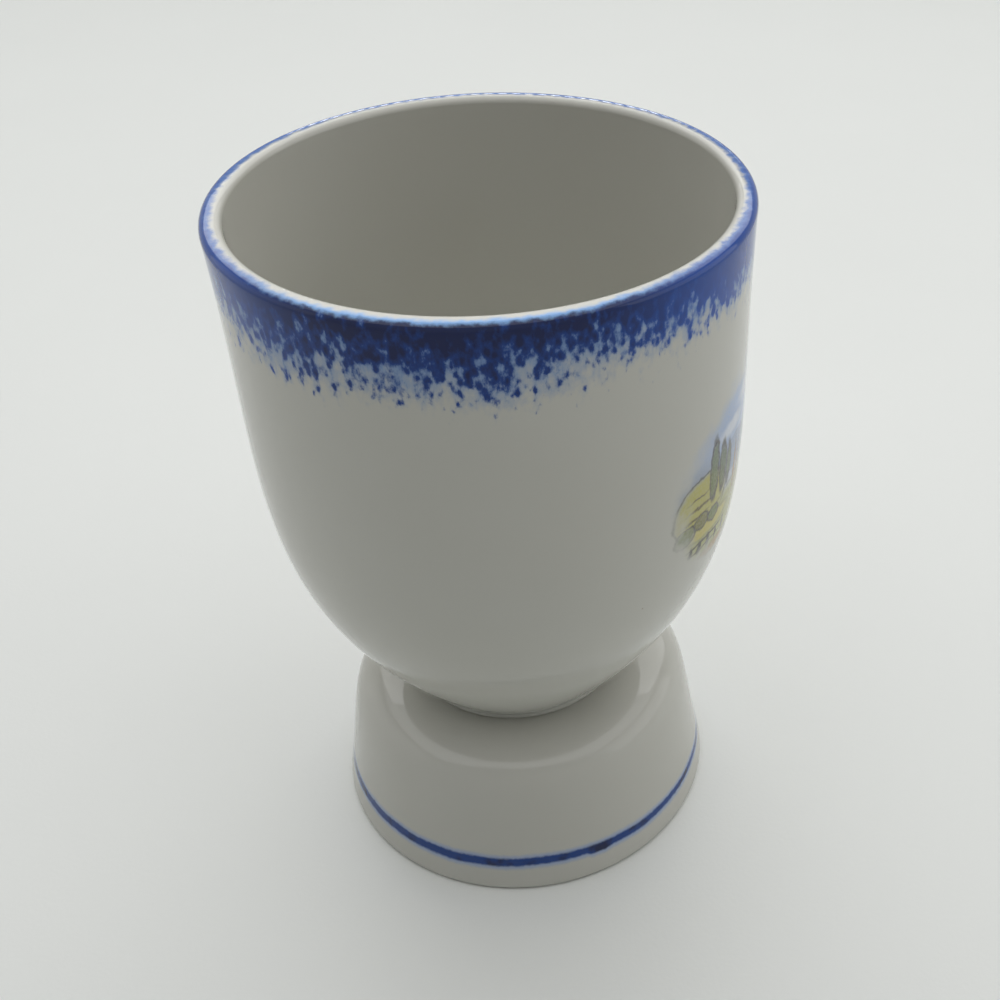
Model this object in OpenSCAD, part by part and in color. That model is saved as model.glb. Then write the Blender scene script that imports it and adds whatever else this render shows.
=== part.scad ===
// Double egg cup: a tall bowl stuck with slip to a small cup that is turned
// upside down and serves as its foot. Millimetres, +Z up, and the origin is
// on the table in the middle of the standing ring.

/* [Cup] */
// Height from the table to the top of the lip
cup_h = 105; // [92:1:122]
// Outside diameter at the rim
rim_d = 70; // [62:0.5:82]
// Outside diameter of the foot at the table
foot_d = 61.5; // [54:0.5:71]

/* [Bowl] */
// Thickness of the wall at the rim
lip_t = 2.8; // [2.2:0.1:3.6]
// Radius of the two rounded edges of the lip
lip_edge_r = 1; // [0.6:0.1:1]
// Thickness of the floor at its centre
floor_t = 5; // [3.6:0.1:6.4]
// Diameter of the flat underside that stands on the slip
seat_d = 34.2; // [30:0.2:39]
// Inward lean of the wall just below the rim, in degrees
rim_angle = 2; // [0:0.1:4]
// Rise of the wall where it leaves the seat, in degrees
seat_angle = 50.2; // [45:0.2:55]

/* [Foot] */
// Height of the foot up to the slip
foot_h = 24.8; // [22:0.2:29]
// Thickness of the wall at the standing ring
ring_t = 3.2; // [2.6:0.1:4]
// Thickness of the top, above the hollow
crown_t = 3.8; // [3:0.1:4.8]
// Diameter of the flat top that the slip lies on
neck_d = 33.4; // [29:0.2:38]
// Inward lean of the wall just above the table, in degrees
foot_angle = 12; // [8:0.1:16]
// Fall of the shoulder from the neck outwards, in degrees
shoulder_angle = 8.6; // [5:0.2:14]
// Radius of the worn outer edge of the standing ring
ring_edge_r = 0.8; // [0.4:0.1:1.1]
// Radius of the inner edge of the standing ring
ring_inner_r = 0.6; // [0.3:0.1:0.9]

/* [Slip] */
// Thickness of the slip between foot and bowl
slip_t = 1; // [0.6:0.1:1.6]
// How far the slip was squeezed out beyond the neck
slip_edge_w = 0.5; // [0.3:0.1:0.9]

/* [Hidden] */

glaze_grey = [0.76, 0.77, 0.75];
slip_grey = [0.70, 0.69, 0.66];

// Smoothness: points on a long curve, on a small round, and on a turn
curve_steps = 20;
round_steps = 6;
$fn = 72;

// Handles of the curves, as shares of the height or width each curve spans.
// A longer rim handle keeps the upper wall straight for longer, and a longer
// seat handle makes the belly fuller.
rim_handle_share = 0.51;
seat_handle_share = 1;
bowl_in_drop_share = 0.74;
bowl_in_floor_share = 0.9;
foot_wall_share = 0.95;
foot_shoulder_share = 0.91;
foot_in_rise_share = 1.12;
foot_in_crown_share = 0.98;

rim_r = rim_d / 2;
foot_r = foot_d / 2;
seat_r = seat_d / 2;
neck_r = neck_d / 2;

seat_z = foot_h + slip_t;      // underside of the bowl
floor_z = seat_z + floor_t;    // bottom of the bowl's hollow
rim_z = cup_h - lip_edge_r;    // where the lip's edges start to round
crown_z = foot_h - crown_t;    // top of the foot's hollow

// Points of a cubic curve from a to d, pulled towards b and then c
function curve(a, b, c, d) = [
    for (i = [0 : curve_steps])
        let (t = i / curve_steps, u = 1 - t)
            u * u * u * a + 3 * u * u * t * b + 3 * u * t * t * c + t * t * t * d
];

// Points of a round about centre c, between two directions in degrees
function round_edge(c, r, from, to) = [
    for (i = [0 : round_steps])
        let (v = from + (to - from) * i / round_steps) c + r * [cos(v), sin(v)]
];

// A point at a distance from p, in a direction in degrees
function reach(p, dist, dir) = p + dist * [cos(dir), sin(dir)];

// The same points in the other order
function reversed(points) = [for (i = [len(points) - 1 : -1 : 0]) points[i]];

// The points after the first, where two stretches share an end
function rest_of(points) = [for (i = [1 : len(points) - 1]) points[i]];

// Tall bowl: wall leaning in a little, full belly, thick rounded bottom
module bowl() {
    rim_out = [rim_r, rim_z];
    rim_in = [rim_r - lip_t, rim_z];
    seat_edge = [seat_r, seat_z];
    wall_dir = -90 - rim_angle;

    outside = curve(
        rim_out,
        reach(rim_out, rim_handle_share * (rim_z - seat_z), wall_dir),
        reach(seat_edge, seat_handle_share * rim_r, seat_angle),
        seat_edge
    );
    inside = curve(
        rim_in,
        reach(rim_in, bowl_in_drop_share * (rim_z - floor_z), wall_dir),
        [bowl_in_floor_share * rim_in.x, floor_z],
        [0, floor_z]
    );
    lip = concat(
        round_edge([rim_in.x + lip_edge_r, rim_z], lip_edge_r, 180, 90),
        round_edge([rim_r - lip_edge_r, rim_z], lip_edge_r, 90, 0)
    );

    color(glaze_grey)
        rotate_extrude()
            polygon(concat([[0, seat_z]], reversed(inside), rest_of(lip), rest_of(outside)));
}

// Small cup upside down: open at the table, rounded shoulder, flat top
module foot() {
    wall_out = [foot_r, ring_edge_r];
    wall_in = [foot_r - ring_t, ring_inner_r];
    neck_edge = [neck_r, foot_h];
    wall_dir = 90 + foot_angle;

    outside = curve(
        wall_out,
        reach(wall_out, foot_wall_share * (foot_h - ring_edge_r), wall_dir),
        reach(neck_edge, foot_shoulder_share * (foot_r - neck_r), -shoulder_angle),
        neck_edge
    );
    inside = curve(
        wall_in,
        reach(wall_in, foot_in_rise_share * (crown_z - ring_inner_r), wall_dir),
        [foot_in_crown_share * wall_in.x, crown_z],
        [0, crown_z]
    );
    outer_edge = round_edge([foot_r - ring_edge_r, ring_edge_r], ring_edge_r, -90, 0);
    inner_edge = round_edge([wall_in.x + ring_inner_r, ring_inner_r], ring_inner_r, 180, 270);

    color(glaze_grey)
        rotate_extrude()
            polygon(concat([[0, foot_h]], reversed(inside), rest_of(inner_edge),
                outer_edge, rest_of(outside)));
}

// Thin disc of slip between the two, with its edge squeezed out and wiped round
module slip_joint() {
    mid_z = foot_h + slip_t / 2;
    bulge = [
        for (i = [0 : round_steps])
            let (v = -90 + 180 * i / round_steps)
                [neck_r + slip_edge_w * cos(v), mid_z + slip_t / 2 * sin(v)]
    ];

    color(slip_grey)
        rotate_extrude()
            polygon(concat([[0, foot_h]], bulge, [[0, seat_z]]));
}

bowl();
foot();
slip_joint();
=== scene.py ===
import math
import bmesh
import bpy
from mathutils import Matrix, Vector, geometry, noise


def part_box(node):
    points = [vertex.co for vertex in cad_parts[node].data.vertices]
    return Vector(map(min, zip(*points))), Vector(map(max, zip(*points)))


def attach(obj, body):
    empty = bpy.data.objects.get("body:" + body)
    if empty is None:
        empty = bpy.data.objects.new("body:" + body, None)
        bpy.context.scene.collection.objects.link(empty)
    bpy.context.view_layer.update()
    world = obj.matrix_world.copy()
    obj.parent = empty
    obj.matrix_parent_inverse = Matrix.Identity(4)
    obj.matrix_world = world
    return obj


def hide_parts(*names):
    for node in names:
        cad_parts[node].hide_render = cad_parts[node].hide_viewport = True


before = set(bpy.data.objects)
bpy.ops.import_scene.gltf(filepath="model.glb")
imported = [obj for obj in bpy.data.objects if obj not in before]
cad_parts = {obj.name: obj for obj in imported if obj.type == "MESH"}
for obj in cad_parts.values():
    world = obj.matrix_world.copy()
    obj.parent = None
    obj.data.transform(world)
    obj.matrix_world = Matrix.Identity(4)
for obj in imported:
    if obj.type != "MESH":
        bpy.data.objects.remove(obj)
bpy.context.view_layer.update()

mm = 0.001
noiseLow, noiseHigh = 0.3, 0.7      # nearly all of a noise texture lies between these

# Boxes of the solids that the smooth pieces stand for
bowlLow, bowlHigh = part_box("bowl")
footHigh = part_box("foot")[1]
slipLow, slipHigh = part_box("slip_joint")


def srgb(hexColour):
    # Hex as picked on screen, turned to the linear values the shaders want
    channels = [int(hexColour[i:i + 2], 16) / 255 for i in (1, 3, 5)]
    return [c / 12.92 if c <= 0.04045 else ((c + 0.055) / 1.055) ** 2.4 for c in channels] + [1.0]


def addNode(tree, kind, settings=None, links=None):
    # Lower-case settings are the node's own, the rest and all links are its sockets
    node = tree.nodes.new(kind)
    for key, value in (settings or {}).items():
        if isinstance(key, str) and key[0].islower():
            setattr(node, key, value)
        else:
            node.inputs[key].default_value = value
    for key, source in (links or {}).items():
        tree.links.new(source, node.inputs[key])
    return node


# Outlines are lists of (radius, height) in metres
def bezierPoints(start, startHandle, endHandle, end, count):
    flat = [Vector((p[0], p[1], 0)) for p in (start, startHandle, endHandle, end)]
    return [(p.x, p.y) for p in geometry.interpolate_bezier(*flat, count)]


def arcPoints(centre, radius, fromDeg, toDeg, count):
    angles = [math.radians(fromDeg + (toDeg - fromDeg) * i / (count - 1)) for i in range(count)]
    return [(centre[0] + radius * math.cos(a), centre[1] + radius * math.sin(a)) for a in angles]


def towards(point, distance, directionDeg):
    a = math.radians(directionDeg)
    return (point[0] + distance * math.cos(a), point[1] + distance * math.sin(a))


def joined(*stretches):
    # Stretches of one outline, end to start, without the doubled points
    outline = list(stretches[0])
    for stretch in stretches[1:]:
        outline += stretch[1:]
    return outline


def turnedBody(name, outline, zeroIndex, thrown):
    # Turns an outline of (radius, height) round the upright axis. The UV map holds the turn
    # in U and the way along the outline from point zeroIndex in V, in decimetres.
    way = [0.0]
    for a, b in zip(outline, outline[1:]):
        way.append(way[-1] + math.dist(a, b))
    way = [(w - way[zeroIndex]) * 10 for w in way]
    steps = thrown["steps"]
    bm = bmesh.new()
    uv = bm.loops.layers.uv.new("wrap")
    rings = []
    for radius, height in outline:
        if radius < 1e-6:       # on the axis
            rings.append([bm.verts.new((0, 0, height))] * steps)
            continue
        ring = []
        for i in range(steps):
            a = 2 * math.pi * i / steps
            # Clay never runs quite true: a slow wobble of the wall, fading to none at the table
            spot = Vector((math.cos(a), math.sin(a), height / thrown["waveHeight"]))
            swell = noise.noise(spot * thrown["wavesRound"] + thrown["waveShift"]) * thrown["waveDepth"]
            swell += thrown["oval"] * math.cos(2 * (a - thrown["ovalTurn"]))
            r = radius + swell * min(1.0, max(0.0, height - thrown["calmBelow"]) / thrown["calmOver"])
            ring.append(bm.verts.new((r * math.cos(a), r * math.sin(a), height)))
        rings.append(ring)
    for j, (lower, upper) in enumerate(zip(rings, rings[1:])):
        for i in range(steps):
            k = (i + 1) % steps
            corners = [(lower[i], i, j), (lower[k], i + 1, j),
                       (upper[k], i + 1, j + 1), (upper[i], i, j + 1)]
            distinct = []
            for corner in corners:
                if all(corner[0] is not other[0] for other in distinct):
                    distinct.append(corner)
            face = bm.faces.new([corner[0] for corner in distinct])
            face.smooth = True
            for loop, (_, turn, row) in zip(face.loops, distinct):
                loop[uv].uv = (turn / steps, way[row])
    bmesh.ops.recalc_face_normals(bm, faces=bm.faces)
    mesh = bpy.data.meshes.new(name)
    bm.to_mesh(mesh)
    bm.free()
    piece = bpy.data.objects.new(name, mesh)
    bpy.context.scene.collection.objects.link(piece)
    return piece


# How true the clay runs, shared by the pieces of the cup
throwing = {
    "steps": 360,               # facets round, fine enough for clean reflections
    "waveDepth": 0.10 * mm,     # how far the wall wanders
    "waveHeight": 28 * mm,      # height of one slow wave
    "wavesRound": 1.3,
    "waveShift": Vector((3.1, 0.4, 1.7)),
    "oval": 0.10 * mm,          # drying pulls the round slightly oval
    "ovalTurn": math.radians(35),
    "calmBelow": 1.0 * mm,      # the standing ring is ground flat and true
    "calmOver": 12 * mm,
}

# The tall bowl, thrown: it leans in a little below the rim and has a full belly
bowl = {
    "lipThickness": 2.8 * mm,
    "lipEdge": 1.0 * mm,        # radius of the lip's two rounded edges
    "floorThickness": 5 * mm,
    "seatRadius": 17.1 * mm,    # of the flat underside on the slip
    "rimLeanDeg": 2.0,          # the wall leans in below the rim
    "seatRiseDeg": 50.2,        # and leaves the seat at this rise
    "rimHandleShare": 0.51,     # longer keeps the upper wall straight for longer
    "seatHandleShare": 1.0,     # longer makes the belly fuller
    "innerDropShare": 0.74,     # the same two for the hollow
    "innerFloorShare": 0.9,
    "wallPoints": 120, "hollowPoints": 90, "lipPoints": 17,
}
lipEdge = bowl["lipEdge"]
rimRadius, rimZ, seatZ = bowlHigh.x, bowlHigh.z - lipEdge, bowlLow.z
floorZ = seatZ + bowl["floorThickness"]
rimOut, rimIn = (rimRadius, rimZ), (rimRadius - bowl["lipThickness"], rimZ)
seatEdge, wallDown = (bowl["seatRadius"], seatZ), -90 - bowl["rimLeanDeg"]
bowlInside = bezierPoints(
    (0, floorZ), (bowl["innerFloorShare"] * rimIn[0], floorZ),
    towards(rimIn, bowl["innerDropShare"] * (rimZ - floorZ), wallDown), rimIn,
    bowl["hollowPoints"])
lipInside = arcPoints((rimIn[0] + lipEdge, rimZ), lipEdge, 180, 90, bowl["lipPoints"])
lipOutside = arcPoints((rimRadius - lipEdge, rimZ), lipEdge, 90, 0, bowl["lipPoints"])
bowlOutside = bezierPoints(
    rimOut, towards(rimOut, bowl["rimHandleShare"] * (rimZ - seatZ), wallDown),
    towards(seatEdge, bowl["seatHandleShare"] * rimRadius, bowl["seatRiseDeg"]), seatEdge,
    bowl["wallPoints"])
crestIndex = len(bowlInside) + len(lipInside) - 1
bowlBody = turnedBody(
    "bowlBody", joined(bowlInside, lipInside, [lipInside[-1], lipOutside[0]], lipOutside,
                       bowlOutside, [seatEdge, (0, seatZ)]), crestIndex, throwing)
print("bowl turned:", len(bowlBody.data.vertices), "points")

# The small cup, upside down, that serves as the foot
foot = {
    "ringThickness": 3.2 * mm,
    "crownThickness": 3.8 * mm,
    "neckRadius": 16.7 * mm,    # of the flat top under the slip
    "leanDeg": 12.0,            # the wall leans in above the table
    "shoulderFallDeg": 8.6,     # and the shoulder falls away from the neck
    "outerEdge": 0.8 * mm,      # the ring's edges are sponged round
    "innerEdge": 0.6 * mm,
    "wallShare": 0.95,          # handles of the wall and the shoulder
    "shoulderShare": 0.91,
    "innerRiseShare": 1.12,     # and of the hollow
    "innerCrownShare": 0.98,
    "wallPoints": 90, "hollowPoints": 60, "innerPoints": 7, "outerPoints": 9,
}
footRadius, neckZ = footHigh.x, footHigh.z
crownZ = neckZ - foot["crownThickness"]
wallOut = (footRadius, foot["outerEdge"])
wallIn = (footRadius - foot["ringThickness"], foot["innerEdge"])
neckEdge, wallUp = (foot["neckRadius"], neckZ), 90 + foot["leanDeg"]
footInside = bezierPoints(
    (0, crownZ), (foot["innerCrownShare"] * wallIn[0], crownZ),
    towards(wallIn, foot["innerRiseShare"] * (crownZ - foot["innerEdge"]), wallUp), wallIn,
    foot["hollowPoints"])
footOutside = bezierPoints(
    wallOut, towards(wallOut, foot["wallShare"] * (neckZ - foot["outerEdge"]), wallUp),
    towards(neckEdge, foot["shoulderShare"] * (footRadius - foot["neckRadius"]),
            -foot["shoulderFallDeg"]), neckEdge, foot["wallPoints"])
innerEdge = arcPoints((wallIn[0] + foot["innerEdge"], wallIn[1]), foot["innerEdge"],
                      180, 270, foot["innerPoints"])
outerEdge = arcPoints((footRadius - foot["outerEdge"], wallOut[1]), foot["outerEdge"],
                      270, 360, foot["outerPoints"])
footOutline = joined(footInside, innerEdge, [innerEdge[-1], outerEdge[0]], outerEdge,
                     footOutside, [neckEdge, (0, neckZ)])
ringIndex = len(footInside) + len(innerEdge) + len(outerEdge) - 2
footBody = turnedBody("footBody", footOutline, ringIndex, throwing)
print("foot turned:", len(footBody.data.vertices), "points")

# The slip that sticks the two together, squeezed out a little and wiped round
slip = {
    "bulge": 0.5 * mm,
    "points": 13,
}
slipMid, slipHalf = (slipLow.z + slipHigh.z) / 2, (slipHigh.z - slipLow.z) / 2
slipNeck = slipHigh.x - slip["bulge"]
slipAngles = [math.radians(-90 + 180 * i / (slip["points"] - 1)) for i in range(slip["points"])]
slipEdge = [(slipNeck + slip["bulge"] * math.cos(a), slipMid + slipHalf * math.sin(a)) for a in slipAngles]
slipRing = turnedBody("slipRing", joined([(0, slipLow.z), slipEdge[0]], slipEdge,
                                         [slipEdge[-1], (0, slipHigh.z)]), 1, throwing)
print("slip turned:", len(slipRing.data.vertices), "points")

for piece, node, slot in ((bowlBody, "bowl", "glazed_porcelain"),
                          (footBody, "foot", "glazed_porcelain"),
                          (slipRing, "slip_joint", "fired_slip")):
    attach(piece, "root")
    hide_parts(node)


def newMaterial(name):
    material = bpy.data.materials.new(name)
    material.use_nodes = True
    tree = material.node_tree
    tree.nodes.clear()
    return material, tree


def wrapCoordinates(tree):
    # The point in millimetres, the way along the outline in millimetres, and the turn
    # from the cup's front towards its right side in degrees
    place = addNode(tree, "ShaderNodeTexCoord")
    point = addNode(tree, "ShaderNodeVectorMath", {"operation": "SCALE", "Scale": 1 / mm},
                    {0: place.outputs["Object"]}).outputs[0]
    wrap = addNode(tree, "ShaderNodeSeparateXYZ", None, {0: place.outputs["UV"]})
    # The map holds decimetres
    way = addNode(tree, "ShaderNodeMath", {"operation": "MULTIPLY", 1: 100.0},
                  {0: wrap.outputs["Y"]}).outputs[0]
    parts = addNode(tree, "ShaderNodeSeparateXYZ", None, {0: point})
    back = addNode(tree, "ShaderNodeMath", {"operation": "MULTIPLY", 1: -1.0}, {0: parts.outputs["Y"]})
    turn = addNode(tree, "ShaderNodeMath", {"operation": "ARCTAN2"},
                   {0: parts.outputs["X"], 1: back.outputs[0]})
    turnDeg = addNode(tree, "ShaderNodeMath", {"operation": "DEGREES"}, {0: turn.outputs[0]}).outputs[0]
    return point, way, turnDeg, parts.outputs["Z"]


# Feldspathic porcelain, dipped in a clear lime glaze: greyish white with a faint warm
# cloudiness in the body, a hard wet gloss and a glaze that lies not quite level.
glaze = {
    "body": "#cacac3",          # porcelain under glaze
    "bodyCloud": "#c6c5bc",     # slightly warmer patches
    "cloudSize": 24.0,          # mm, slow colour drift through the body
    "speckColour": "#8d7a63",   # rare iron specks, as in any plain porcelain
    "speckSpacing": 9.0,        # mm between candidate specks
    "speckSize": 0.11,          # mm
    "speckStrength": 0.7,
    "roughness": 0.03,          # typical of a bright glaze
    "ior": 1.5,
    "specular": 0.34,           # under the usual half, for a glaze dulled by use
    "unevenness": 9.0,          # mm, the width of the glaze's slow ripples
    "rippleDepth": 0.012,       # mm
    "peelSize": 1.1,            # mm, fine orange peel
    "peelDepth": 0.0009,        # mm
}
speckCore, speckRim = 0.6, 1.6      # where a speck or crumb begins and ends to fade, in its sizes


def glazedBody(tree, point):
    # The bare glazed colour, before any painting
    cloud = addNode(tree, "ShaderNodeTexNoise", {"Scale": 1 / glaze["cloudSize"], "Detail": 2.0},
                    {"Vector": point})
    body = addNode(tree, "ShaderNodeMix", {"data_type": "RGBA", 6: srgb(glaze["body"]),
                                           7: srgb(glaze["bodyCloud"])}, {0: cloud.outputs["Fac"]})
    grit = addNode(tree, "ShaderNodeTexVoronoi", {"Scale": 1 / glaze["speckSpacing"]}, {"Vector": point})
    size = glaze["speckSize"] / glaze["speckSpacing"]
    speck = addNode(tree, "ShaderNodeMapRange", {"interpolation_type": "SMOOTHSTEP", 1: size * speckCore,
                                                 2: size * speckRim, 3: glaze["speckStrength"], 4: 0.0},
                    {0: grit.outputs["Distance"]})
    return addNode(tree, "ShaderNodeMix", {"data_type": "RGBA", 7: srgb(glaze["speckColour"])},
                   {0: speck.outputs[0], 6: body.outputs[2]}).outputs[2]


def glazeSurface(tree, point, colour):
    # Gloss coat over whatever colour is underneath
    slow = addNode(tree, "ShaderNodeTexNoise", {"Scale": 1 / glaze["unevenness"], "Detail": 1.0},
                   {"Vector": point})
    fine = addNode(tree, "ShaderNodeTexNoise", {"Scale": 1 / glaze["peelSize"], "Detail": 1.0},
                   {"Vector": point})
    peel = addNode(tree, "ShaderNodeBump", {"Strength": 1.0, "Distance": glaze["peelDepth"] * mm},
                   {"Height": fine.outputs["Fac"]})
    ripple = addNode(tree, "ShaderNodeBump", {"Strength": 1.0, "Distance": glaze["rippleDepth"] * mm},
                     {"Height": slow.outputs["Fac"], "Normal": peel.outputs["Normal"]})
    shader = addNode(tree, "ShaderNodeBsdfPrincipled",
                     {"Roughness": glaze["roughness"], "IOR": glaze["ior"],
                      "Specular IOR Level": glaze["specular"]},
                     {"Base Color": colour, "Normal": ripple.outputs["Normal"]})
    addNode(tree, "ShaderNodeOutputMaterial", None, {"Surface": shader.outputs[0]})
    return shader


# Cobalt dabbed on with a natural sponge under the glaze: solid navy against the rim, mottled
# with grey-blue pores below that, and ending in single dark dabs over a thin blue film.
sponge = {
    "navy": "#001850",          # full load
    "cobalt": "#083d8c",        # where it lies thinner
    "greyBlue": "#5474aa",      # rims of the dabs
    "film": "#7696c4",          # what the wet sponge smeared between them
    "thin": "#0a55bc",          # brighter blue that the band turns to round the sides
    "fringe": "#86b6ee",        # light blue along the lip's outer edge: partly blue under thin glaze, partly a painted reflection of the light on the lip's rounding
    "edgeFrom": -0.2,           # mm along the outside from the lip's outer edge
    "edgeBlur": (0.4, 0.5),     # mm before and after that, over which the colour begins
    "edgeFull": 0.55,           # mm, where the light fringe has turned navy
    "glowBlur": 0.35,           # mm either way
    "glowStrength": 0.9,
    "glowDeg": (22.0, 55.0),    # the fringe's painted reflection is widest at the front and dies away towards the sides
    "sideShare": 0.25,          # what is left of it at the sides
    "higherAside": 0.4,         # mm, how much nearer the inside the colour begins at the sides
    "edgeRagged": 0.3,          # mm
    "nibbleSize": 1.3,          # mm, bites of that ragged edge
    "reach": 11.6,              # mm to the last dabs
    "reachWander": 1.5,         # mm, how far that edge wanders either way
    "wanderSize": 13.0,         # mm
    "blotSize": 1.5,            # mm, holes of the sponge
    "dabSize": 0.8,             # mm
    "dabStretch": 0.6,          # below 1 the dabs stand taller than wide
    "blotWeight": 0.85, "dabWeight": 0.22,      # what each adds to the height of the print
    "dabEnds": 0.7,             # share of a dab's size at which it adds no more
    # Height that the print needs to leave colour, against the share of the way to the last dabs
    "need": ((0.0, 0.10), (0.22, 0.24), (0.5, 0.39), (0.8, 0.54), (1.0, 0.66)),
    "load": (-0.06, 0.27),      # height over the need, from no colour to a full load
    "cobaltAt": 0.42,           # loads at which the colour is cobalt
    "coversAt": 0.52,           # and at which it hides what lies under it
    "sideBrightening": 0.75,            # how far the sides turn to that brighter blue, the front staying darkest
    "filmStrength": 0.95,
    "filmEnds": (0.1, 0.62),    # share of the way over which the film dies out
    "filmPatchy": 0.8,          # how far the blots pull that about
}


def spongeBand(tree, point, way, turnDeg, under):
    # Front or side: 1 at the front, falling towards the sides
    aside = addNode(tree, "ShaderNodeMath", {"operation": "ABSOLUTE"}, {0: turnDeg})
    front = addNode(tree, "ShaderNodeMapRange", {"interpolation_type": "SMOOTHSTEP", 1: sponge["glowDeg"][0],
                                                 2: sponge["glowDeg"][1], 3: 1.0, 4: sponge["sideShare"]},
                    {0: aside.outputs[0]})
    # How far down the band: 0 at the lip, 1 at the last dabs
    wander = addNode(tree, "ShaderNodeTexNoise", {"Scale": 1 / sponge["wanderSize"], "Detail": 1.0},
                     {"Vector": point})
    shifted = addNode(tree, "ShaderNodeMapRange", {1: noiseLow, 2: noiseHigh, 3: sponge["reachWander"],
                                                   4: -sponge["reachWander"]}, {0: wander.outputs["Fac"]})
    depth = addNode(tree, "ShaderNodeMath", {"operation": "ADD"}, {0: way, 1: shifted.outputs[0]})
    share = addNode(tree, "ShaderNodeMapRange", {"clamp": False, 1: 0.0, 2: sponge["reach"]},
                    {0: depth.outputs[0]})
    # The sponge's print: soft blots broken up into dabs
    tall = addNode(tree, "ShaderNodeVectorMath", {"operation": "MULTIPLY", 1: (1, 1, sponge["dabStretch"])},
                   {0: point})
    blots = addNode(tree, "ShaderNodeTexNoise", {"Scale": 1 / sponge["blotSize"], "Detail": 4.0,
                                                 "Roughness": 0.62}, {"Vector": tall.outputs[0]})
    dabs = addNode(tree, "ShaderNodeTexVoronoi", {"feature": "SMOOTH_F1", "Scale": 1 / sponge["dabSize"],
                                                  "Smoothness": 0.6}, {"Vector": tall.outputs[0]})
    dabTop = addNode(tree, "ShaderNodeMapRange", {1: 0.0, 2: sponge["dabEnds"], 3: sponge["dabWeight"],
                                                  4: 0.0}, {0: dabs.outputs["Distance"]})
    printed = addNode(tree, "ShaderNodeMath", {"operation": "MULTIPLY_ADD", 1: sponge["blotWeight"]},
                      {0: blots.outputs["Fac"], 2: dabTop.outputs[0]})
    # How high the print must stand to leave colour, rising as the sponge runs dry
    need = addNode(tree, "ShaderNodeFloatCurve", None, {"Value": share.outputs[0]})
    curve = need.mapping.curves[0]
    curve.points[0].location, curve.points[1].location = sponge["need"][0], sponge["need"][-1]
    for place, value in sponge["need"][1:-1]:
        curve.points.new(place, value)
    need.mapping.update()
    over = addNode(tree, "ShaderNodeMath", {"operation": "SUBTRACT"},
                   {0: printed.outputs[0], 1: need.outputs[0]})
    load = addNode(tree, "ShaderNodeMapRange", {1: sponge["load"][0], 2: sponge["load"][1]},
                   {0: over.outputs[0]})
    ink = addNode(tree, "ShaderNodeValToRGB", None, {0: load.outputs[0]})
    ink.color_ramp.elements[0].color = srgb(sponge["greyBlue"])
    ink.color_ramp.elements[1].color = srgb(sponge["navy"])
    ink.color_ramp.elements.new(sponge["cobaltAt"]).color = srgb(sponge["cobalt"])
    # The blue is darkest at the front and turns brighter towards the sides
    towardsSides = addNode(tree, "ShaderNodeMath", {"operation": "MULTIPLY_ADD", 1: -sponge["sideBrightening"],
                                           2: sponge["sideBrightening"]}, {0: front.outputs[0]})
    pigment = addNode(tree, "ShaderNodeMix", {"data_type": "RGBA", 7: srgb(sponge["thin"])},
                      {0: towardsSides.outputs[0], 6: ink.outputs["Color"]})
    laid = addNode(tree, "ShaderNodeMapRange", {"interpolation_type": "SMOOTHSTEP", 1: 0.0,
                                                2: sponge["coversAt"]}, {0: load.outputs[0]})
    # The thin film between the dabs dies out before the last of them
    blush = addNode(tree, "ShaderNodeMath", {"operation": "MULTIPLY_ADD", 1: -sponge["filmPatchy"]},
                    {0: blots.outputs["Fac"], 2: share.outputs[0]})
    film = addNode(tree, "ShaderNodeMapRange", {"interpolation_type": "SMOOTHSTEP", 1: sponge["filmEnds"][0],
                                                2: sponge["filmEnds"][1], 3: sponge["filmStrength"], 4: 0.0},
                   {0: blush.outputs[0]})
    washed = addNode(tree, "ShaderNodeMix", {"data_type": "RGBA", 7: srgb(sponge["film"])},
                     {0: film.outputs[0], 6: under})
    dabbed = addNode(tree, "ShaderNodeMix", {"data_type": "RGBA"},
                     {0: laid.outputs[0], 6: washed.outputs[2], 7: pigment.outputs[2]})
    # Over the lip the colour runs thin and light, with a painted reflection of the light on the lip's
    # rounding, before it ends in a ragged edge
    nibble = addNode(tree, "ShaderNodeTexNoise", {"Scale": 1 / sponge["nibbleSize"], "Detail": 3.0},
                     {"Vector": point})
    ragged = addNode(tree, "ShaderNodeMapRange", {1: noiseLow, 2: noiseHigh, 3: -sponge["edgeRagged"],
                                                  4: sponge["edgeRagged"]}, {0: nibble.outputs["Fac"]})
    lift = sponge["higherAside"] / (1 - sponge["sideShare"])
    lifted = addNode(tree, "ShaderNodeMath", {"operation": "MULTIPLY_ADD", 1: -lift, 2: lift},
                     {0: front.outputs[0]})
    start = addNode(tree, "ShaderNodeMath", {"operation": "ADD"}, {0: way, 1: lifted.outputs[0]})
    edge = addNode(tree, "ShaderNodeMath", {"operation": "ADD"}, {0: start.outputs[0], 1: ragged.outputs[0]})
    glow = addNode(tree, "ShaderNodeMapRange", {"interpolation_type": "SMOOTHSTEP",
                                                1: sponge["edgeFull"] - sponge["glowBlur"],
                                                2: sponge["edgeFull"] + sponge["glowBlur"],
                                                3: sponge["glowStrength"], 4: 0.0}, {0: edge.outputs[0]})
    # Painted reflection: the light-blue fringe is made strongest at the front, where the lip's rounding
    # catches the light
    paintedLipSheen = addNode(tree, "ShaderNodeMath", {"operation": "MULTIPLY"},
                      {0: glow.outputs[0], 1: front.outputs[0]})
    fringed = addNode(tree, "ShaderNodeMix", {"data_type": "RGBA", 7: srgb(sponge["fringe"])},
                      {0: paintedLipSheen.outputs[0], 6: dabbed.outputs[2]})
    begins = addNode(tree, "ShaderNodeMapRange", {"interpolation_type": "SMOOTHSTEP",
                                                  1: sponge["edgeFrom"] - sponge["edgeBlur"][0],
                                                  2: sponge["edgeFrom"] + sponge["edgeBlur"][1]},
                     {0: edge.outputs[0]})
    return addNode(tree, "ShaderNodeMix", {"data_type": "RGBA"},
                   {0: begins.outputs[0], 6: under, 7: fringed.outputs[2]}).outputs[2]


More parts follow.
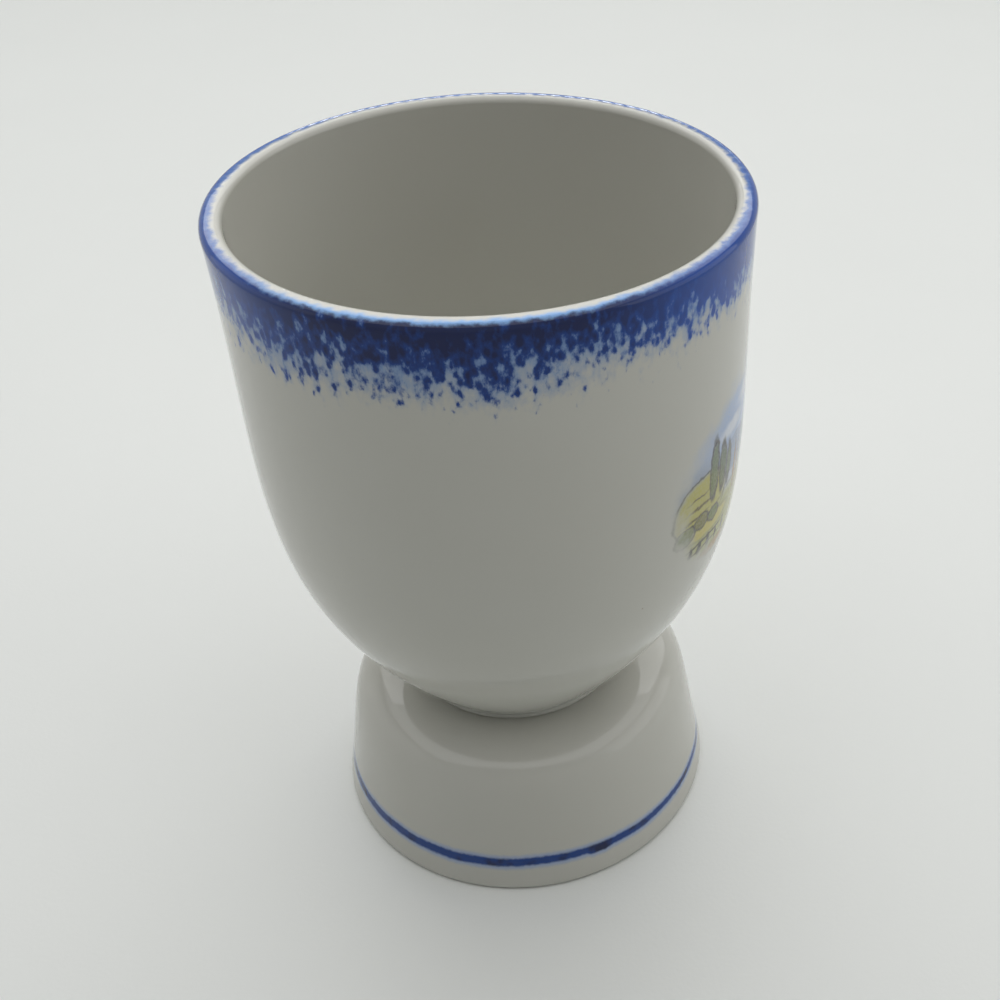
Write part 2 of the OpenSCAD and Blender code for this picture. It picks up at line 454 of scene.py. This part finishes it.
# A small country view on the right of the bowl, like a lithographed transfer touched up by
# hand: thin soft colours under the glaze, with a grey pen line round the nearer shapes.
# Every daub gives its colour, middle and half size in mm from the picture's middle, how soft
# its edge is, how strongly it covers, and how strong its pen line is.
picture = {
    "middleDeg": 75.0,          # from the front towards the right
    "middleHeight": 70.0,       # mm above the table
    "wallRadius": 34.7,         # mm
    "halfWidth": 20.5, "halfHeight": 15.5,  # mm, the soft oval that everything fades into
    "fade": 0.3,                # share of the oval over which it fades
    "fadeEnds": 1.25,           # in ovals, with what the cloudy edge adds
    "cloudSize": 4.0,           # mm, lobes of that cloudy edge
    "cloudWeight": 0.5,
    "handWobble": 1.1,          # mm
    "wobbleSize": 1.6,          # mm
    "pen": "#4b4843",
    "penWidth": 0.34,           # mm
    "penReach": 1.6,            # in half sizes of the daub, past which no line is drawn
    "grainSize": 0.35,          # mm, grain of the print
    "grainLeast": 0.8,          # cover between the grains
    "daubs": (
        ("#9db4dc", (2.0, 6.5), (18.0, 9.5), 0.55, 0.9, 0.0),      # sky
        ("#e4e8ee", (5.0, 10.2), (6.0, 1.7), 0.6, 0.75, 0.0),      # clouds
        ("#e4e8ee", (-4.5, 7.4), (4.2, 1.3), 0.6, 0.7, 0.0),
        ("#8595b3", (-3.0, 2.4), (9.5, 2.7), 0.25, 0.8, 0.25),     # far hills
        ("#8c9ab2", (9.0, 2.6), (9.0, 3.3), 0.25, 0.8, 0.25),
        ("#a3ac80", (10.5, -1.2), (9.0, 3.2), 0.2, 0.85, 0.35),    # wooded slope
        ("#8e9ab0", (-13.5, 1.6), (6.0, 4.6), 0.5, 0.7, 0.0),      # haze behind the knoll
        ("#bcb65e", (-12.0, -0.8), (6.4, 5.0), 0.2, 0.95, 0.8),    # sunlit knoll
        ("#adae66", (1.0, -7.4), (17.5, 5.4), 0.3, 0.9, 0.4),      # meadow
        ("#cdbf62", (-9.5, -5.6), (5.6, 1.5), 0.4, 0.8, 0.3),      # mown strips
        ("#bb8b41", (6.4, -5.4), (6.4, 0.8), 0.4, 0.8, 0.2),
        ("#a87c38", (-7.4, -11.2), (5.0, 1.0), 0.5, 0.8, 0.3),
        ("#a57a35", (-1.8, -1.0), (0.5, 4.2), 0.5, 0.85, 0.4),     # reeds
        ("#a57a35", (-0.4, -1.6), (0.4, 3.4), 0.5, 0.85, 0.4),
        ("#ded4b8", (4.6, -12.4), (3.0, 1.5), 0.4, 0.9, 0.0),      # winding path
        ("#ded4b8", (3.2, -10.7), (2.4, 1.3), 0.4, 0.9, 0.0),
        ("#ded4b8", (2.0, -9.2), (1.9, 1.2), 0.4, 0.9, 0.0),
        ("#ded4b8", (1.6, -7.8), (1.5, 1.1), 0.4, 0.9, 0.0),
        ("#ded4b8", (2.1, -6.5), (1.2, 1.0), 0.4, 0.9, 0.0),
        ("#ded4b8", (2.8, -5.4), (0.9, 0.8), 0.4, 0.9, 0.0),
        ("#ded4b8", (2.9, -4.5), (0.65, 0.7), 0.4, 0.9, 0.0),
        ("#ded4b8", (2.5, -3.7), (0.5, 0.6), 0.4, 0.9, 0.0),
        ("#5a4a33", (-13.4, -2.2), (3.4, 0.3), 0.7, 0.8, 0.0),     # furrows
        ("#5a4a33", (-12.2, -0.6), (3.6, 0.28), 0.7, 0.8, 0.0),
        ("#5a4a33", (-13.0, 1.0), (2.6, 0.26), 0.7, 0.8, 0.0),
        ("#69764e", (-9.4, 3.4), (1.1, 4.6), 0.3, 0.9, 0.9),       # poplars
        ("#5f6c48", (-6.9, 2.6), (1.0, 3.9), 0.3, 0.9, 0.9),
        ("#69764e", (-4.8, 2.0), (0.8, 3.1), 0.3, 0.9, 0.9),
        ("#7d8a58", (11.4, -2.2), (2.7, 2.3), 0.3, 0.85, 0.5),     # round trees and bushes
        ("#6f7c52", (14.8, -3.4), (2.0, 1.7), 0.3, 0.85, 0.5),
        ("#6f7c4a", (-15.6, -4.4), (2.2, 1.6), 0.3, 0.9, 0.9),
        ("#7d7a46", (-12.0, -3.6), (1.7, 1.2), 0.3, 0.9, 0.9),
        ("#6f7c4a", (-8.9, -4.0), (1.5, 1.2), 0.3, 0.9, 0.9),
        ("#95692f", (11.5, -5.0), (0.4, 1.2), 0.4, 0.9, 0.0),      # trunks
        ("#95692f", (14.9, -5.6), (0.35, 0.9), 0.4, 0.9, 0.0),
        ("#4c443a", (-10.4, -7.7), (6.6, 0.24), 0.6, 0.9, 0.0),    # fence: rails, then posts
        ("#4c443a", (-10.4, -9.0), (6.6, 0.2), 0.6, 0.9, 0.0),
        ("#2f2c29", (-16.2, -8.3), (0.6, 1.3), 0.5, 0.95, 0.0),
        ("#2f2c29", (-14.0, -8.4), (0.6, 1.3), 0.5, 0.95, 0.0),
        ("#2f2c29", (-11.8, -8.5), (0.6, 1.35), 0.5, 0.95, 0.0),
        ("#2f2c29", (-9.5, -8.6), (0.6, 1.35), 0.5, 0.95, 0.0),
        ("#2f2c29", (-7.1, -8.7), (0.38, 1.3), 0.4, 0.85, 0.0),
        ("#2f2c29", (-4.6, -8.8), (0.4, 1.4), 0.4, 0.85, 0.0),
    ),
}


def countryPicture(tree, point, turnDeg, height, under):
    # Millimetres to the right of and above the picture's middle, as the hand strayed
    beside = addNode(tree, "ShaderNodeMath", {"operation": "SUBTRACT", 1: picture["middleDeg"]}, {0: turnDeg})
    across = addNode(tree, "ShaderNodeMath", {"operation": "MULTIPLY",
                                              1: math.radians(1) * picture["wallRadius"]},
                     {0: beside.outputs[0]})
    up = addNode(tree, "ShaderNodeMath", {"operation": "SUBTRACT", 1: picture["middleHeight"]}, {0: height})
    flat = addNode(tree, "ShaderNodeCombineXYZ", None, {0: across.outputs[0], 1: up.outputs[0]})
    wobble = addNode(tree, "ShaderNodeTexNoise", {"Scale": 1 / picture["wobbleSize"], "Detail": 2.0},
                     {"Vector": point})
    far = picture["handWobble"]
    stray = addNode(tree, "ShaderNodeVectorMath", {"operation": "MULTIPLY_ADD", 1: (far, far, 0),
                                                   2: (-far / 2, -far / 2, 0)}, {0: wobble.outputs["Color"]})
    at = addNode(tree, "ShaderNodeVectorMath", {"operation": "ADD"},
                 {0: flat.outputs[0], 1: stray.outputs[0]}).outputs[0]
    colour = under
    for hexColour, (x, y), (halfX, halfY), soft, strength, pen in picture["daubs"]:
        inside = addNode(tree, "ShaderNodeVectorMath", {
            "operation": "MULTIPLY_ADD", 1: (1 / halfX, 1 / halfY, 0),
            2: (-x / halfX, -y / halfY, 0)}, {0: at})
        away = addNode(tree, "ShaderNodeVectorMath", {"operation": "LENGTH"},
                       {0: inside.outputs[0]}).outputs["Value"]
        cover = addNode(tree, "ShaderNodeMapRange", {"interpolation_type": "SMOOTHSTEP", 1: 1 - soft,
                                                     2: 1 + soft / 2, 3: strength, 4: 0.0}, {0: away})
        colour = addNode(tree, "ShaderNodeMix", {"data_type": "RGBA", 7: srgb(hexColour)},
                         {0: cover.outputs[0], 6: colour}).outputs[2]
        if pen:
            width = picture["penWidth"] / min(halfX, halfY)
            rim = addNode(tree, "ShaderNodeMath", {"operation": "PINGPONG", 1: 1.0}, {0: away})
            line = addNode(tree, "ShaderNodeMapRange", {"interpolation_type": "SMOOTHSTEP", 1: 1 - width,
                                                        2: 1.0, 3: 0.0, 4: pen}, {0: rim.outputs[0]})
            near = addNode(tree, "ShaderNodeMath", {"operation": "LESS_THAN", 1: picture["penReach"]},
                           {0: away})
            drawn = addNode(tree, "ShaderNodeMath", {"operation": "MULTIPLY"},
                            {0: line.outputs[0], 1: near.outputs[0]})
            colour = addNode(tree, "ShaderNodeMix", {"data_type": "RGBA", 7: srgb(picture["pen"])},
                             {0: drawn.outputs[0], 6: colour}).outputs[2]
    # The whole fades into the porcelain in a soft, uneven oval, with the grain of the print
    oval = addNode(tree, "ShaderNodeVectorMath", {
        "operation": "MULTIPLY", 1: (1 / picture["halfWidth"], 1 / picture["halfHeight"], 0)}, {0: at})
    out = addNode(tree, "ShaderNodeVectorMath", {"operation": "LENGTH"}, {0: oval.outputs[0]})
    cloud = addNode(tree, "ShaderNodeTexNoise", {"Scale": 1 / picture["cloudSize"], "Detail": 3.0},
                    {"Vector": point})
    uneven = addNode(tree, "ShaderNodeMath", {"operation": "MULTIPLY_ADD", 1: picture["cloudWeight"]},
                     {0: cloud.outputs["Fac"], 2: out.outputs["Value"]})
    shown = addNode(tree, "ShaderNodeMapRange", {"interpolation_type": "SMOOTHSTEP",
                                                 1: picture["fadeEnds"] - picture["fade"],
                                                 2: picture["fadeEnds"], 3: 1.0, 4: 0.0},
                    {0: uneven.outputs[0]})
    grain = addNode(tree, "ShaderNodeTexNoise", {"Scale": 1 / picture["grainSize"], "Detail": 1.0},
                    {"Vector": point})
    thin = addNode(tree, "ShaderNodeMapRange", {1: noiseLow, 2: noiseHigh, 3: picture["grainLeast"], 4: 1.0},
                   {0: grain.outputs["Fac"]})
    amount = addNode(tree, "ShaderNodeMath", {"operation": "MULTIPLY"},
                     {0: shown.outputs[0], 1: thin.outputs[0]})
    return addNode(tree, "ShaderNodeMix", {"data_type": "RGBA"},
                   {0: amount.outputs[0], 6: under, 7: colour}).outputs[2]


porcelainBowl, tree = newMaterial("glazedPorcelainBowl")
point, way, turnDeg, height = wrapCoordinates(tree)
colour = glazedBody(tree, point)
colour = countryPicture(tree, point, turnDeg, height, colour)
# Picture and band lie on the outside only: the inside has a negative way round the outline
outside = addNode(tree, "ShaderNodeMath", {"operation": "GREATER_THAN", 1: 0.0}, {0: way})
colour = addNode(tree, "ShaderNodeMix", {"data_type": "RGBA"},
                 {0: outside.outputs[0], 6: glazedBody(tree, point), 7: colour}).outputs[2]
colour = spongeBand(tree, point, way, turnDeg, colour)
# One drop of cobalt that fell off the sponge, below the middle of the band
drop = {
    "at": (4.4, -33.7, 89.0),   # mm
    "core": 0.12, "rim": 0.3,   # mm from its middle
    "strength": 0.75,
}
fromDrop = addNode(tree, "ShaderNodeVectorMath", {"operation": "DISTANCE", 1: drop["at"]}, {0: point})
dropped = addNode(tree, "ShaderNodeMapRange", {"interpolation_type": "SMOOTHSTEP", 1: drop["core"],
                                               2: drop["rim"], 3: drop["strength"], 4: 0.0},
                  {0: fromDrop.outputs["Value"]})
colour = addNode(tree, "ShaderNodeMix", {"data_type": "RGBA", 7: srgb(sponge["cobalt"])},
                 {0: dropped.outputs[0], 6: colour}).outputs[2]
glazeSurface(tree, point, colour)
bowlBody.data.materials.append(porcelainBowl)

# One turn of a loaded liner brush, cobalt under the glaze, with a soft halo where the
# blue has run into the melting glaze.
liner = {
    "blue": "#073b86",
    "pool": "#041346",          # where the brush rested
    "halo": "#7c9fd8",
    "height": 4.15,             # mm up the wall from the ring, to the middle of the line
    "tilt": 0.85,               # mm, the cup stood a little skew on the banding wheel
    "highestDeg": -25.0,
    "width": 1.75,              # mm
    "swell": 0.5,               # mm, wider where the brush was pressed
    "edgeBlur": (0.35, 0.2),    # mm, inside and outside the line's edge
    "strength": 0.97,
    "haloWidth": 1.0,           # mm beyond the line
    "haloStrength": 0.62,
    "waver": 0.2,               # mm, how far the hand strayed
    "waverSize": 11.0,          # mm
    "bristle": 0.4,             # mm, how far the brush's hairs fray the edge
    "bristleSize": 0.8,         # mm
    "joinDeg": (23.0, 29.0),    # the stroke ends overlap here, a little off one another
    "joinBlurDeg": (1.5, 3.0),
    "joinDrop": 0.4,            # mm
    "poolSize": 3.0,            # mm
    "poolFrom": (0.5, 0.72),    # noise from which the blue is pooled
    "poolAtJoin": 0.22,         # what the overlap adds to it
}
# The standing ring is wiped free of glaze so that the cup doesn't stick to the kiln shelf
biscuit = {
    "colour": "#cfc6b4",        # bare fired body
    "edge": "#5b5347",          # painted shade: a dark brownish line low on the ring's outer edge, for the shadow where the foot meets the table
    "from": -3.6, "to": -0.75,  # mm along the wall from the ring's outer edge
    "blur": 0.3,                # mm
    "baseShadowWidth": (0.5, 0.1),    # mm of that painted shade before and after the end of the glaze
    "ragged": 0.3,              # mm
    "raggedSize": 2.0,          # mm
    "roughness": 0.7,           # typical of unglazed porcelain
}
porcelainFoot, tree = newMaterial("glazedPorcelainFoot")
point, way, turnDeg, height = wrapCoordinates(tree)
colour = glazedBody(tree, point)
# The middle of the line goes up and down once a turn
turned = addNode(tree, "ShaderNodeMath", {"operation": "SUBTRACT", 1: liner["highestDeg"]}, {0: turnDeg})
turned = addNode(tree, "ShaderNodeMath", {"operation": "RADIANS"}, {0: turned.outputs[0]})
swing = addNode(tree, "ShaderNodeMath", {"operation": "COSINE"}, {0: turned.outputs[0]})
drift = addNode(tree, "ShaderNodeTexNoise", {"Scale": 1 / liner["waverSize"], "Detail": 1.0},
                {"Vector": point})
strayed = addNode(tree, "ShaderNodeMapRange", {1: noiseLow, 2: noiseHigh,
                                               3: liner["height"] - liner["waver"],
                                               4: liner["height"] + liner["waver"]},
                  {0: drift.outputs["Fac"]})
middle = addNode(tree, "ShaderNodeMath", {"operation": "MULTIPLY_ADD", 1: liner["tilt"]},
                 {0: swing.outputs[0], 2: strayed.outputs[0]})
fromLine = addNode(tree, "ShaderNodeMath", {"operation": "SUBTRACT"}, {0: way, 1: middle.outputs[0]})
# Its end runs on past its start, a little lower
joinFrom, joinTo = liner["joinDeg"]
started = addNode(tree, "ShaderNodeMapRange", {1: joinFrom, 2: joinFrom + liner["joinBlurDeg"][0]},
                  {0: turnDeg})
ended = addNode(tree, "ShaderNodeMapRange", {1: joinTo, 2: joinTo + liner["joinBlurDeg"][1], 3: 1.0, 4: 0.0},
                {0: turnDeg})
overlap = addNode(tree, "ShaderNodeMath", {"operation": "MULTIPLY"},
                  {0: started.outputs[0], 1: ended.outputs[0]})
lower = addNode(tree, "ShaderNodeMath", {"operation": "MULTIPLY_ADD", 1: liner["joinDrop"]},
                {0: overlap.outputs[0], 2: fromLine.outputs[0]})
toFirst = addNode(tree, "ShaderNodeMath", {"operation": "ABSOLUTE"}, {0: fromLine.outputs[0]})
toSecond = addNode(tree, "ShaderNodeMath", {"operation": "ABSOLUTE"}, {0: lower.outputs[0]})
nearest = addNode(tree, "ShaderNodeMath", {"operation": "MINIMUM"},
                  {0: toFirst.outputs[0], 1: toSecond.outputs[0]})
pressed = addNode(tree, "ShaderNodeMath", {"operation": "MULTIPLY_ADD", 1: -liner["swell"] / 2},
                  {0: swing.outputs[0], 2: nearest.outputs[0]})
hairs = addNode(tree, "ShaderNodeTexNoise", {"Scale": 1 / liner["bristleSize"], "Detail": 2.0},
                {"Vector": point})
away = addNode(tree, "ShaderNodeMath", {"operation": "MULTIPLY_ADD", 1: liner["bristle"]},
               {0: hairs.outputs["Fac"], 2: pressed.outputs[0]})
halfWidth = liner["width"] / 2 + liner["bristle"] / 2 - liner["swell"] / 2
halo = addNode(tree, "ShaderNodeMapRange", {"interpolation_type": "SMOOTHSTEP", 1: halfWidth - 0.1,
                                            2: halfWidth + liner["haloWidth"],
                                            3: liner["haloStrength"], 4: 0.0}, {0: away.outputs[0]})
line = addNode(tree, "ShaderNodeMapRange", {"interpolation_type": "SMOOTHSTEP",
                                            1: halfWidth - liner["edgeBlur"][0],
                                            2: halfWidth + liner["edgeBlur"][1],
                                            3: liner["strength"], 4: 0.0}, {0: away.outputs[0]})
# Darker where the brush rested and where the stroke lies double
rested = addNode(tree, "ShaderNodeTexNoise", {"Scale": 1 / liner["poolSize"], "Detail": 2.0},
                 {"Vector": point})
pooled = addNode(tree, "ShaderNodeMath", {"operation": "MULTIPLY_ADD", 1: liner["poolAtJoin"]},
                 {0: overlap.outputs[0], 2: rested.outputs["Fac"]})
pool = addNode(tree, "ShaderNodeMapRange", {"interpolation_type": "SMOOTHSTEP", 1: liner["poolFrom"][0],
                                            2: liner["poolFrom"][1]}, {0: pooled.outputs[0]})
blue = addNode(tree, "ShaderNodeMix", {"data_type": "RGBA", 6: srgb(liner["blue"]), 7: srgb(liner["pool"])},
               {0: pool.outputs[0]})
colour = addNode(tree, "ShaderNodeMix", {"data_type": "RGBA", 7: srgb(liner["halo"])},
                 {0: halo.outputs[0], 6: colour}).outputs[2]
colour = addNode(tree, "ShaderNodeMix", {"data_type": "RGBA"},
                 {0: line.outputs[0], 6: colour, 7: blue.outputs[2]}).outputs[2]
# Bare clay between the two ends of the glaze, with painted shade along its outer end, where the foot meets
# the table
wipe = addNode(tree, "ShaderNodeTexNoise", {"Scale": 1 / biscuit["raggedSize"], "Detail": 2.0},
               {"Vector": point})
wiped = addNode(tree, "ShaderNodeMath", {"operation": "MULTIPLY_ADD", 1: 2 * biscuit["ragged"]},
                {0: wipe.outputs["Fac"], 2: way})
underOuter = addNode(tree, "ShaderNodeMapRange", {1: biscuit["to"], 2: biscuit["to"] + biscuit["blur"],
                                                  3: 1.0, 4: 0.0}, {0: wiped.outputs[0]})
pastInner = addNode(tree, "ShaderNodeMapRange", {1: biscuit["from"] - biscuit["blur"], 2: biscuit["from"],
                                                 3: 0.0, 4: 1.0}, {0: wiped.outputs[0]})
bare = addNode(tree, "ShaderNodeMath", {"operation": "MULTIPLY"},
               {0: pastInner.outputs[0], 1: underOuter.outputs[0]})
# Painted shade: a dark line at the outer end of the glaze, standing in for the foot's shadow on the table
paintedBaseShadow = addNode(tree, "ShaderNodeMapRange", {1: biscuit["to"] - biscuit["baseShadowWidth"][0],
                                             2: biscuit["to"] + biscuit["baseShadowWidth"][1]},
                {0: wiped.outputs[0]})
clay = addNode(tree, "ShaderNodeMix", {"data_type": "RGBA", 6: srgb(biscuit["colour"]),
                                       7: srgb(biscuit["edge"])}, {0: paintedBaseShadow.outputs[0]})
colour = addNode(tree, "ShaderNodeMix", {"data_type": "RGBA"},
                 {0: bare.outputs[0], 6: colour, 7: clay.outputs[2]}).outputs[2]
shader = glazeSurface(tree, point, colour)
matt = addNode(tree, "ShaderNodeMapRange", {3: glaze["roughness"], 4: biscuit["roughness"]},
               {0: bare.outputs[0]})
tree.links.new(matt.outputs[0], shader.inputs["Roughness"])
footBody.data.materials.append(porcelainFoot)

# The joint was wiped with a wet brush and dipped with the rest, so it shows as a soft seam
firedSlip, tree = newMaterial("glazedSlip")
point = wrapCoordinates(tree)[0]
glazeSurface(tree, point, glazedBody(tree, point))
slipRing.data.materials.append(firedSlip)
print("finishes made")

# A white painted board, faintly mottled by the roller and not quite clean
table = {
    "colour": "#e2e4e1", "colourDrift": "#dfe1de",
    "driftSize": 60.0,          # mm
    "grain": 0.7, "grainDepth": 0.02,  # mm, the skin a short-haired roller leaves
    "dust": "#6f6a62", "dustSpacing": 28.0, "dustSize": 0.22,  # mm
    "dustStrength": 0.7,
    "half": 1.2,                # m from the middle to each edge
    "backdrop": "#d9dcd9",      # what the board runs into, and what stands behind it
    "runsOut": (0.5, 0.85),     # m from the middle, where it does so
    "roughness": 0.42,          # satin paint
}
mesh = bpy.data.meshes.new("tableTop")
half = table["half"]
mesh.from_pydata([(-half, -half, 0), (half, -half, 0), (half, half, 0), (-half, half, 0)], [], [(0, 1, 2, 3)])
tableTop = bpy.data.objects.new("tableTop", mesh)
bpy.context.scene.collection.objects.link(tableTop)
whiteBoard, tree = newMaterial("paintedBoard")
place = addNode(tree, "ShaderNodeTexCoord")
point = addNode(tree, "ShaderNodeVectorMath", {"operation": "SCALE", "Scale": 1 / mm},
                {0: place.outputs["Object"]}).outputs[0]
cloud = addNode(tree, "ShaderNodeTexNoise", {"Scale": 1 / table["driftSize"], "Detail": 3.0},
                {"Vector": point})
paint = addNode(tree, "ShaderNodeMix", {"data_type": "RGBA", 6: srgb(table["colour"]),
                                        7: srgb(table["colourDrift"])}, {0: cloud.outputs["Fac"]})
crumbs = addNode(tree, "ShaderNodeTexVoronoi", {"Scale": 1 / table["dustSpacing"]}, {"Vector": point})
size = table["dustSize"] / table["dustSpacing"]
crumb = addNode(tree, "ShaderNodeMapRange", {1: size * speckCore, 2: size * speckRim,
                                             3: table["dustStrength"], 4: 0.0},
                {0: crumbs.outputs["Distance"]})
dusty = addNode(tree, "ShaderNodeMix", {"data_type": "RGBA", 7: srgb(table["dust"])},
                {0: crumb.outputs[0], 6: paint.outputs[2]})
skin = addNode(tree, "ShaderNodeTexNoise", {"Scale": 1 / table["grain"], "Detail": 2.0}, {"Vector": point})
rolled = addNode(tree, "ShaderNodeBump", {"Strength": 1.0, "Distance": table["grainDepth"] * mm},
                 {"Height": skin.outputs["Fac"]})
board = addNode(tree, "ShaderNodeBsdfPrincipled", {"Roughness": table["roughness"]},
                {"Base Color": dusty.outputs[2], "Normal": rolled.outputs["Normal"]})
# Far out it runs into the pale backdrop, so that no edge of the board shows
beyond = addNode(tree, "ShaderNodeEmission", {"Color": srgb(table["backdrop"]), "Strength": 1.0})
distance = addNode(tree, "ShaderNodeVectorMath", {"operation": "LENGTH"}, {0: place.outputs["Object"]})
runOut = addNode(tree, "ShaderNodeMapRange", {"interpolation_type": "SMOOTHSTEP", 1: table["runsOut"][0],
                                              2: table["runsOut"][1]}, {0: distance.outputs["Value"]})
sweep = addNode(tree, "ShaderNodeMixShader", None, {0: runOut.outputs[0], 1: board.outputs[0],
                                                    2: beyond.outputs[0]})
addNode(tree, "ShaderNodeOutputMaterial", None, {"Surface": sweep.outputs[0]})
tableTop.data.materials.append(whiteBoard)

# Where the photograph was taken from, found by fitting the rim, the base and the sides
camera = {
    "pixels": 1000,             # the picture is square
    "focalPixels": 1249.2,
    "axisPixel": 640,           # the picture is a crop, so the lens looks right of its middle
    "sensor": 36.0,             # mm
    "pitchDeg": 37.823,         # looking down
    "rollDeg": -0.069,
    "originRight": -20.085 * mm,  # where the middle of the standing ring lies from the lens
    "originDown": 43.229 * mm,
    "originAhead": 223.293 * mm,
    "clip": (0.01, 20.0),       # m
}
pitch, roll = math.radians(camera["pitchDeg"]), math.radians(camera["rollDeg"])
levelRight = Vector((1, 0, 0))
ahead = Vector((0, math.cos(pitch), -math.sin(pitch)))
levelDown = Vector((0, -math.sin(pitch), -math.cos(pitch)))
right = math.cos(roll) * levelRight + math.sin(roll) * levelDown
down = math.cos(roll) * levelDown - math.sin(roll) * levelRight
eye = -(right * camera["originRight"] + down * camera["originDown"] + ahead * camera["originAhead"])
lens = bpy.data.cameras.new("camera")
lens.sensor_width = camera["sensor"]
lens.lens = camera["focalPixels"] / camera["pixels"] * camera["sensor"]
lens.shift_x = 0.5 - camera["axisPixel"] / camera["pixels"]
lens.clip_start, lens.clip_end = camera["clip"]
viewer = bpy.data.objects.new("camera", lens)
viewer.matrix_world = Matrix.Translation(eye) @ Matrix((right, -down, -ahead)).transposed().to_4x4()
bpy.context.scene.collection.objects.link(viewer)
bpy.context.scene.camera = viewer

# A small photo tent: a wide ceiling, a panel high at the back, and a brighter right side.
# Each panel gives its place, its size in metres and how bright its face is.
light = {
    "panels": {
        "ceiling": ((0.0, 0.12, 0.80), (1.6, 1.4), 1.2),
        "backTop": ((0.0, 0.61, 0.62), (1.25, 0.48), 1.83),
        "rightSide": ((0.75, 0.0, 0.30), (0.9, 0.5), 0.87),
        "leftSide": ((-0.75, 0.0, 0.30), (0.9, 0.5), 0.39),
    },
    "aim": {"ceiling": (0.0, 0.12, 0.0)},   # the others look at the middle of the cup
    "middle": (0.0, 0.0, 0.04),
    "frontFade": 0.38,          # share of the ceiling's depth over which its front dies away
    # A row of small diodes at the back, seen as dots in the glaze of the lip only
    "strip": ((-0.035, 0.60, 0.302), (0.34, 0.012), 9.0),
    "diodes": 42,
    "diodeGap": 0.2,            # share of a diode's pitch that stays dark, either side
    "room": "#c9cac8", "roomStrength": 0.02,
}


def lightPanel(name, place, size, brightness):
    lamp = bpy.data.lights.new(name, "AREA")
    lamp.shape, lamp.size, lamp.size_y = "RECTANGLE", *size
    lamp.energy = math.pi * size[0] * size[1] * brightness
    panel = bpy.data.objects.new(name, lamp)
    panel.location = place
    facing = Vector(place) - Vector(light["aim"].get(name, light["middle"]))
    panel.rotation_euler = facing.to_track_quat("Z", "Y").to_euler()
    bpy.context.scene.collection.objects.link(panel)
    return panel


def lampPattern(panel):
    # Node tree of a lamp and where on its face a ray left it, 0 to 1 both ways
    panel.data.use_nodes = True
    tree = panel.data.node_tree
    tree.nodes.clear()
    surface = addNode(tree, "ShaderNodeNewGeometry")
    return tree, addNode(tree, "ShaderNodeSeparateXYZ", None, {0: surface.outputs["Parametric"]})


panels = {name: lightPanel(name, *values) for name, values in light["panels"].items()}
tree, face = lampPattern(panels["ceiling"])
fade = addNode(tree, "ShaderNodeMapRange", {"interpolation_type": "SMOOTHSTEP", 1: 0.0,
                                            2: light["frontFade"]}, {0: face.outputs["Y"]})
glow = addNode(tree, "ShaderNodeEmission", None, {"Strength": fade.outputs[0]})
addNode(tree, "ShaderNodeOutputLight", None, {"Surface": glow.outputs[0]})

strip = lightPanel("diodeStrip", *light["strip"])
strip.visible_diffuse = strip.visible_camera = False
tree, face = lampPattern(strip)
count = addNode(tree, "ShaderNodeMath", {"operation": "MULTIPLY", 1: light["diodes"]}, {0: face.outputs["X"]})
spot = addNode(tree, "ShaderNodeMath", {"operation": "PINGPONG", 1: 0.5}, {0: count.outputs[0]})
lit = addNode(tree, "ShaderNodeMath", {"operation": "GREATER_THAN", 1: light["diodeGap"]},
              {0: spot.outputs[0]})
glow = addNode(tree, "ShaderNodeEmission", None, {"Strength": lit.outputs[0]})
addNode(tree, "ShaderNodeOutputLight", None, {"Surface": glow.outputs[0]})

world = bpy.data.worlds.new("room")
bpy.context.scene.world = world
world.use_nodes = True
tree = world.node_tree
tree.nodes.clear()
around = addNode(tree, "ShaderNodeBackground", {"Color": srgb(light["room"]),
                                                "Strength": light["roomStrength"]})
# Seen directly or in the glaze, the backdrop is as pale as the board; it gives no light itself
pale = addNode(tree, "ShaderNodeBackground", {"Color": srgb(table["backdrop"]), "Strength": 1.0})
path = addNode(tree, "ShaderNodeLightPath")
seen = addNode(tree, "ShaderNodeMath", {"operation": "MAXIMUM"}, {0: path.outputs["Is Camera Ray"],
                                                                  1: path.outputs["Is Glossy Ray"]})
mixed = addNode(tree, "ShaderNodeMixShader", None, {0: seen.outputs[0], 1: around.outputs[0],
                                                    2: pale.outputs[0]})
addNode(tree, "ShaderNodeOutputWorld", None, {"Surface": mixed.outputs[0]})
bpy.context.scene.view_settings.view_transform = "Standard"
print("scene lit")
